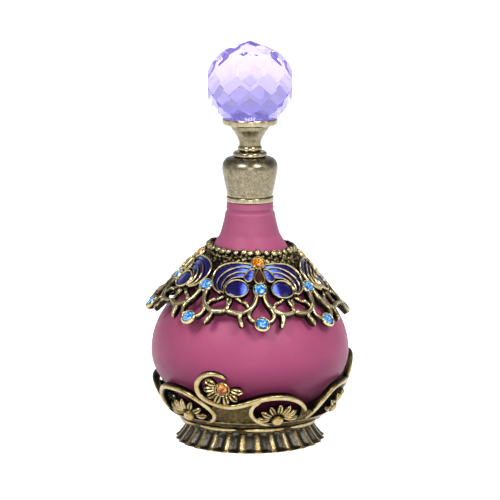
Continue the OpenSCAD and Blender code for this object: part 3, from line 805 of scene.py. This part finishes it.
def collar_seats():
    """Each collar stone's kind and number, and where it stands."""
    rows = [("head", i, QUARTER * i, HEAD_S) for i in range(BUTTERFLIES)]
    for i in range(SPRAYS):
        rows += [("upper", i, EIGHTH * i, UPPER_S), ("drop", i, EIGHTH * i, DROP_S)]
    return [(kind, i + 1, stand(on_collar, TURN + a, s, STONE_UP)) for kind, i, a, s in rows]


def collar_bezels():
    """The cups that hold the collar's stones."""
    shape = Shape()
    for kind, _, seat in collar_seats():
        bezel(shape, seat, 0.7 if kind == "drop" else 0.62)
    shape.casting("collar_bezels", COLLAR_METAL, 60)


# ---- the stones ----


def gem(kind, number, seat, draw):
    """A round brilliant: table, stars, kites and girdle facets, with the back seen through the table."""
    r, sides = STONE_R, 8
    rings = [(0.0, 0.92, 0), (0.26 * r, 0.96, 11.25), (0.56 * r, 1.0, 22.5), (0.8 * r, 0.82, 0),
             (r, 0.5, 22.5), (r, 0.35, 22.5), (0.8 * r, 0.0, 22.5)]
    shape = Shape()
    points, faces = [], []
    for radius, height, start in rings:
        t = start + 360 / sides * np.arange(sides)
        points.append(np.stack([radius * sin(t), radius * cos(t), np.full(sides, height)], -1))
    for k in range(len(rings) - 1):
        for i in range(sides):
            a, b = sides * k + i, sides * k + (i + 1) % sides
            faces += [[a, a + sides, b], [b, a + sides, b + sides]]
    faces.append(list(range(sides * (len(rings) - 1), sides * len(rings))))
    shape.add(placed(np.concatenate(points), seat), faces, 0.5)
    material, slot = (SAPPHIRE, "blue_stone") if kind in ("upper", "drop") else (TOPAZ, "amber_stone")
    made = shape.piece(f"{kind}_gem_{number}", "bottle", slot, material, [f"{kind}_stone_{number}"], 1)
    mesh = made.data
    # painted glints: each facet gets a random brightness that its material turns into a painted reflection
    painted_glint = draw.uniform(0.05, 1.0, len(mesh.polygons))
    mesh.attributes.new("painted_glint", "FLOAT", "FACE").data.foreach_set("value", painted_glint)
    mesh.shade_flat()


def stones():
    """Every stone of the collar and of the scrolls."""
    draw = np.random.default_rng(5)
    for kind, number, seat in collar_seats():
        gem(kind, number, seat, draw)
    for i in range(SCROLLS):
        seat = stand(on_bowl, SCROLL_SEAT[0] + THIRD * i, SCROLL_SEAT[1], STONE_UP + 0.5)
        gem("scroll", i + 1, seat, draw)


# ---- the gallery ----

SCROLL = curve([(-13.4, 23.6), (-17.5, 24.7), (-22.5, 25), (-28, 23.9), (-31.4, 21.4), (-30.6, 18.8),
                (-26.7, 17.2), (-19.5, 15.9), (-12, 15.4), (-5, 16), (1.5, 17), (9, 18), (17, 18.2),
                (25, 17.5), (32, 15.7), (38.5, 12.8)], 8)
LOOP_R = curve([(7.5, 17.4), (2.6, 16), (0.6, 14), (2, 12), (7, 10.2), (15, 9.2)], 9)
LOOP_L = curve([(-81, 9.4), (-76, 10.8), (-70, 15), (-62, 18.2), (-52, 19), (-42, 18.5), (-34, 17),
                (-27, 14.8), (-23.5, 12.6), (-26, 10.4), (-34, 9.2)], 8)
HALF_DAISIES = ((18.6, 10.8, 15), (-45, 11, 17))


def gallery_rails():
    """The scrolls and the two loops that spring from each."""
    shape = Shape()
    for i in range(SCROLLS):
        for line, width, rise in ((SCROLL, 1.95, 1.35), (LOOP_R, 1.6, 1.2), (LOOP_L, 1.75, 1.25)):
            line = evenly(line, 3 * len(line) // 2)
            size = np.interp(np.linspace(0, 1, len(line)), [0, 0.14, 0.85, 1], [0.55, 1, 1, 0.7])
            sweep(shape, on_bowl, line + [THIRD * i, 0], width, rise, RAIL, depth=0.7, swell=size)
    shape.casting("gallery_rails", RAIL_METAL, 70, "gallery_cup")


def petal(shape, start, end, width, rise):
    """One grooved petal."""
    count = 15
    line, t = np.linspace(start, end, count), np.linspace(0, 1, count)
    size = 0.42 + 0.58 * sin(180 * np.clip(t, 0, 1) ** 1.35) ** 0.8

    def rising(a, z, h):
        return on_bowl(a, z, h + 0.25 + 0.35 * t)

    sweep(shape, rising, line, width, rise, LEAF, depth=0.5, swell=size)


def gallery_daisies():
    """Half daisies under the rails and a full fan around each scroll's stone."""
    shape = Shape()
    for i in range(SCROLLS):
        for a, z, spread in HALF_DAISIES:
            middle = np.array([a + THIRD * i, z])
            for k in range(7):
                t = 12 + 26 * k
                reach = np.array([spread * cos(t), 5.4 * sin(t) * (0.85 + 0.15 * sin(t))])
                petal(shape, middle + 0.3 * reach, middle + 0.97 * reach, 2.15, 1.0)
            seat = stand(on_bowl, middle[0], middle[1], 0.3)
            dome = [(0.0, 1.75)] + [(1.85 * sin(t), 0.35 + 1.4 * cos(t)) for t in range(12, 97, 12)]
            profile = dome + [(1.95, 0.0), (1.7, -0.6), (0.0, -0.6)]
            worn = np.interp([p[0] for p in profile], [0, 1.3, 1.9, 2.0], [1, 1, 0.45, 0])
            turned(shape, seat, profile, 32, worn)
        middle = np.array([SCROLL_SEAT[0] + THIRD * i, SCROLL_SEAT[1]])
        for t in (150, 185, 215, 245, 280, 315, 350):
            reach = np.array([12.4 * cos(t), 5.1 * sin(t)])
            petal(shape, middle + 0.3 * reach, middle + 0.97 * reach, 2.5, 1.05)
        bezel(shape, stand(on_bowl, middle[0], middle[1], STONE_UP + 0.5))
    shape.casting("gallery_daisies", RAIL_METAL, 60)


def gallery_web():
    """Cross-hatched panels under each scroll."""
    shape = Shape()
    outline = curve([(-24, 14.5), (-20, 16), (-12, 15.6), (-5, 16.2), (2, 16.8), (1, 14), (2, 11.6), (5, 9),
                     (-10, 8.4), (-26, 8.8), (-23.6, 12)], 10, closed=True)
    corner = curve([(34, 14.6), (38, 13.2), (43, 12.6), (46, 9.4), (40, 8.4), (28, 8.6), (34, 11)], 10,
                   closed=True)
    mm_per_degree, pitch = 0.42, 260
    for middle, edge in (((-12, 12), outline), ((39, 10.8), corner)):
        share = np.linspace(0.02, 1, 44)[:, None, None]
        flat = np.array(middle) + (edge[None] - middle) * share
        a, z = flat[..., 0] * mm_per_degree, flat[..., 1]
        hatch = np.maximum(np.abs(sin(pitch * (a + 0.75 * z))), np.abs(sin(pitch * (a - 0.75 * z)))) ** 4
        height = 0.45 + 0.3 * hatch
        top = np.concatenate([flat, flat[-1:]])
        height = np.concatenate([height, np.full_like(height[-1:], -0.2)])
        marks = np.concatenate([0.62 * hatch, 0 * hatch[-1:]])
        for i in range(SCROLLS):
            shape.grid(on_bowl(top[..., 0] + THIRD * i, top[..., 1], height), marks)
    shape.casting("gallery_web", RAIL_METAL, 70)


def gallery_floor():
    """The turned cup under the bulb, with a band of long leaves around its ledge."""
    shape = Shape()
    profile, worn = eased([(7, 6.6), (6.6, 8), (0.3, 8), (0.3, 5.3), (18.4, 5.3), (19.6, 5.6), (20.1, 6.3),
                           (20.5, 7.2), (21.3, 7.7), (22.6, 8.2), (24.5, 9.6), (23.2, 10), (20.4, 7.9),
                           (17.6, 6.6)], 0.3, 4)
    lathe(shape, profile, 180, np.clip(worn - 0.25, 0, 1)[None])
    leaves, reach, count = 9, 17, 26
    size = 0.35 + 0.65 * sin(np.linspace(0, 180, count)) ** 0.7
    for i in range(leaves):
        a = 360 * i / leaves + 12
        line = np.stack([np.linspace(a - reach, a + reach, count), np.full(count, 6.75)], -1)
        sweep(shape, on_ledge, line, 1.7, 0.8, arch(7, power=0.7), lift=-0.1, depth=0.4, swell=size)
    shape.casting("gallery_floor", RAIL_METAL, 60)


def fluted_foot():
    """A flared skirt of rounded ribs with hollow flutes between them."""
    around = RIBS * 18
    a = 360 * np.arange(around)[:, None] / around
    ridge, flute = 0.42, 0.58  # their shares of each rib's width
    away = np.abs((a * RIBS / 360) % 1 - 0.5) * 2
    rib = np.clip(1 - away / ridge, 0, 1) ** 0.55
    hollow = sin(90 * np.clip((away - ridge) / flute, 0, 1))
    z = np.concatenate([[0.0, 0.12, 0.45, 0.6], np.linspace(0.95, 5.0, 12), [FOOT_H]])[None, :]
    skirt = np.interp(z, [0, 0.5, 2.4, 4.2, FOOT_H], [FOOT_R - 0.55, FOOT_R - 0.9, 19.75, 18.5, 17.9])
    lip = np.interp(z, [0, 0.12, 0.45, 0.6, 0.95], [0.0, 0.3, 0.3, 0.12, 0.0])
    fade = np.interp(z, [0, 0.12, 4.6, FOOT_H], [0.75, 1, 1, 0.3])
    outside = skirt + lip + fade * (0.25 * rib - 0.75 * hollow * np.interp(z, [0, 1, 5], [0.5, 1, 0.75]))
    outside = np.minimum(outside, FOOT_R)
    marks = np.clip(1.05 * rib * (0.6 + 0.4 * fade) + 1.6 * lip, 0, 1) + 0.0 * z
    inner_r = np.array([[14, 14, 16.6, 18.4, 20.2]])
    inner_z = np.array([[FOOT_H, FOOT_H - 1, FOOT_H - 1.2, 2.2, 0]])
    radius = np.concatenate([outside, inner_r + 0 * a], 1)
    height = np.concatenate([z + 0 * a, inner_z + 0 * a], 1)
    marks = np.concatenate([marks + 0 * a, 0.2 + 0 * inner_r + 0 * a], 1)
    shape = Shape()
    shape.grid(polar(radius, a, height), marks, wrap=True)
    shape.casting("foot_skirt", FOOT_METAL, 55, "fluted_foot")


# ---- the stopper ----


def ring_piece(name, node, material, profile, bevel=0.14, count=128, wobble=0.0, body="stopper"):
    """A turned piece, with its profile given as radius and height above the CAD node's foot."""
    foot = span(node)[0][2]
    outline, worn = eased([(r, foot + z) for r, z in profile], bevel)
    shape = Shape()
    lathe(shape, outline, count, worn[None], wobble)
    shape.piece(name, body, "satin_brass", material, [node])


def stopper_metal():
    """The stack of turned pieces between the neck and the ball."""
    dome = curve([(6.75, 0.75), (7.3, 3.25), (7.75, 5.6), (8, 6.95), (8.1, 8.25), (7.95, 9.35),
                  (7.4, 10.35), (6.7, 10.95), (5.4, 11.35)], 5)
    inside = [(1.3, 11.4), (1.3, 9.75), (5.6, 9.75), (6.6, 8.75), (6.9, 6.75), (6.6, 4.35), (6.3, 2.95),
              (6.3, 0.0), (6.6, 0.0)]
    ring_piece("dome_cap", "cap_dome", SATIN_METAL, [*map(tuple, dome), *inside], 0.1, 160, 0.0015)
    ring_piece("shoulder", "shoulder_ring", RING_METAL,
               [(1.3, 0), (4.6, 0), (4.95, 0.35), (5, 0.75), (4.9, 1.25), (4.5, 1.55), (1.3, 1.55)])
    ring_piece("bead", "bead_ring", RING_METAL,
               [(1.3, 0), (3, 0), (3.45, 0.4), (3.6, 0.9), (3.45, 1.4), (3, 1.8), (1.3, 1.8)])
    flare = curve([(3.1, 0), (3.2, 1), (3.6, 2), (4.1, 3), (4.75, 4), (5.3, 4.7), (5.6, 5.4)], 5)
    ring_piece("stem", "stopper_stem", SATIN_METAL, [(1.3, 0), *map(tuple, flare), (5.6, 6), (1.3, 6)])
    ring_piece("seat", "ball_seat", RING_METAL,
               [(1.3, 0), (7.5, 0), (8.0, 0.4), (8.05, 1.6), (7.9, 2.0), (7.7, 2.0), (6.9, 1.35),
                (6.1, 0.82), (5.5, 0.5), (1.3, 0.45)])
    ring_piece("ferrule", "neck_ferrule", RING_METAL,
               [(6.05, 0), (6.7, 0), (6.95, 0.3), (6.95, 1.4), (6.7, 1.65), (6.05, 1.65)], body="bottle")


def crystal_ball():
    """The ball cut by flat facets, with each edge just broken."""
    around, pole_reach = 10, 0.935
    turn = 360 // around
    cuts = [(turn * i, 90, BALL_REACH) for i in range(around)]
    cuts += [(turn * (i + 0.5), t, BALL_REACH) for i in range(around) for t in (67.5, 112.5)]
    cuts += [(turn * i, t, BALL_REACH) for i in range(around) for t in (45, 135)]
    cuts += [(2 * turn * i + 10, t, pole_reach) for i in range(around // 2) for t in (22.5, 157.5)]
    bm = bmesh.new()
    bmesh.ops.create_cube(bm, size=2.2)

    def cut(normal, distance):
        parts = bm.verts[:] + bm.edges[:] + bm.faces[:]
        made = bmesh.ops.bisect_plane(bm, geom=parts, dist=1e-6, plane_co=normal * distance,
                                      plane_no=normal, clear_outer=True)
        edges = [e for e in made["geom_cut"] if isinstance(e, bmesh.types.BMEdge)]
        bmesh.ops.contextual_create(bm, geom=edges)

    for a, t, distance in cuts:
        cut(Vector((sin(t) * cos(a), sin(t) * sin(a), cos(t))), distance)
    cut(Vector((0, 0, -1)), (BALL_Z - BALL_FOOT) / BALL_R)
    bmesh.ops.remove_doubles(bm, verts=bm.verts, dist=1e-4)
    bmesh.ops.bevel(bm, geom=bm.edges[:], offset=0.006, segments=1, affect="EDGES", clamp_overlap=True)
    bm.verts.index_update()
    points = np.array([v.co for v in bm.verts]) * BALL_R + [0, 0, BALL_Z]
    faces = [[v.index for v in f.verts] for f in bm.faces]
    bm.free()
    shape = Shape()
    shape.add(points, faces, 0.5)
    made = shape.piece("faceted_ball", "stopper", "lilac_crystal", CRYSTAL, ["crystal_ball"], 1)
    made.data.shade_flat()


def finish_cad_nodes():
    """The plain inner pieces keep their CAD shape and get their materials."""
    for node, material in (("plug_insert", PLASTIC), ("dabber_rod", ROD), ("seal_ring", SEAL),
                           ("stopper_stud", STEEL), ("stud_nut", STEEL)):
        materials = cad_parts[node].data.materials
        materials.clear()
        materials.append(material)


# ---- the studio ----

TARGET = (0, 0, 55.94)
LIGHT_TARGET = (0, 0, 50)
DISTANCE = 900
TILT = 10.5


def floor():
    """A plain pale table."""
    size, count = 2600, 24
    shape = Shape()
    t = np.linspace(-size, size, count)
    x, y = np.meshgrid(t, t)
    shape.grid(np.stack([x, y, 0 * x], -1), 0.0, round_=False)
    points = np.concatenate(shape.points)
    mesh = bpy.data.meshes.new("floor")
    mesh.from_pydata((points * MM).tolist(), [], shape.faces)
    p = Paint("pale_floor", Roughness=0.6, Emission_Color=(1, 1, 1, 1), Emission_Strength=0.82,
              Specular_IOR_Level=0.1)
    p.set(Base_Color=p.mix(p.noise(0.02, 2), (0.9, 0.9, 0.9), (0.86, 0.86, 0.86)))
    mesh.materials.append(p.material)
    made = in_scene("floor", mesh)
    # the table throws no soft light back, so the bottle is darker underneath, as in the photograph
    made.visible_diffuse = False


def soft_light(name, azimuth, elevation, distance, size, power):
    """A softbox that faces the bottle."""
    data = bpy.data.lights.new(name, "AREA")
    data.shape, data.size, data.size_y = "RECTANGLE", size[0] * MM, size[1] * MM
    data.energy = power
    made = in_scene(name, data)
    away = Vector((sin(azimuth) * cos(elevation), -cos(azimuth) * cos(elevation), sin(elevation)))
    made.location = (Vector(LIGHT_TARGET) + away * distance) * MM
    made.rotation_euler = away.to_track_quat("Z", "Y").to_euler()


def studio():
    """A bright horizon all round, a dimmer ceiling, and soft lights in front, beside and above."""
    world = bpy.data.worlds.new("studio")
    bpy.context.scene.world = world
    world.use_nodes = True
    tree = world.node_tree
    where = tree.nodes.new("ShaderNodeTexCoord")
    parts = tree.nodes.new("ShaderNodeSeparateXYZ")
    share = tree.nodes.new("ShaderNodeMapRange")
    ramp = tree.nodes.new("ShaderNodeValToRGB")
    tree.links.new(where.outputs["Generated"], parts.inputs[0])
    share.inputs["From Min"].default_value = -1
    tree.links.new(parts.outputs["Z"], share.inputs["Value"])
    tree.links.new(share.outputs["Result"], ramp.inputs["Fac"])
    sky = ((0.0, 0.05), (0.44, 0.1), (0.5, 1.0), (0.58, 1.0), (0.75, 0.36), (1.0, 0.34))
    fill_ramp(ramp, [(at, (grey,) * 3) for at, grey in sky])
    shade = tree.nodes["Background"]
    tree.links.new(ramp.outputs["Color"], shade.inputs["Color"])
    shade.inputs["Strength"].default_value = 0.6
    soft_light("key_left", -40, 42, 620, (200, 220), 2.0)
    soft_light("key_right", 36, 42, 620, (200, 220), 2.0)
    soft_light("front", 4, 14, 900, (300, 420), 1.9)
    soft_light("right", 72, 28, 560, (160, 420), 0.25)
    soft_light("left", -84, 24, 560, (160, 420), 0.12)
    soft_light("top", 150, 72, 620, (320, 320), 1.0)


def camera():
    """The photograph's view: far off, a little above the middle of the bottle."""
    data = bpy.data.cameras.new("camera")
    data.sensor_width, data.lens = 36, 221.6
    data.clip_start, data.clip_end = 0.01, 20
    made = in_scene("camera", data)
    back = Vector((0, -cos(TILT), sin(TILT)))
    made.location = (Vector(TARGET) + back * DISTANCE) * MM
    made.rotation_euler = back.to_track_quat("Z", "Y").to_euler()
    scene = bpy.context.scene
    scene.camera = made
    scene.view_settings.view_transform = "Standard"
    scene.view_settings.look = "None"


camera()
floor()
studio()
glass_body()
collar_ground()
rim_beads()
wing_wires()
for number in range(BUTTERFLIES):
    wing_enamel(number)
    body_enamel(number)
collar_twigs()
collar_bezels()
stones()
gallery_rails()
gallery_daisies()
gallery_web()
gallery_floor()
fluted_foot()
stopper_metal()
crystal_ball()
finish_cad_nodes()
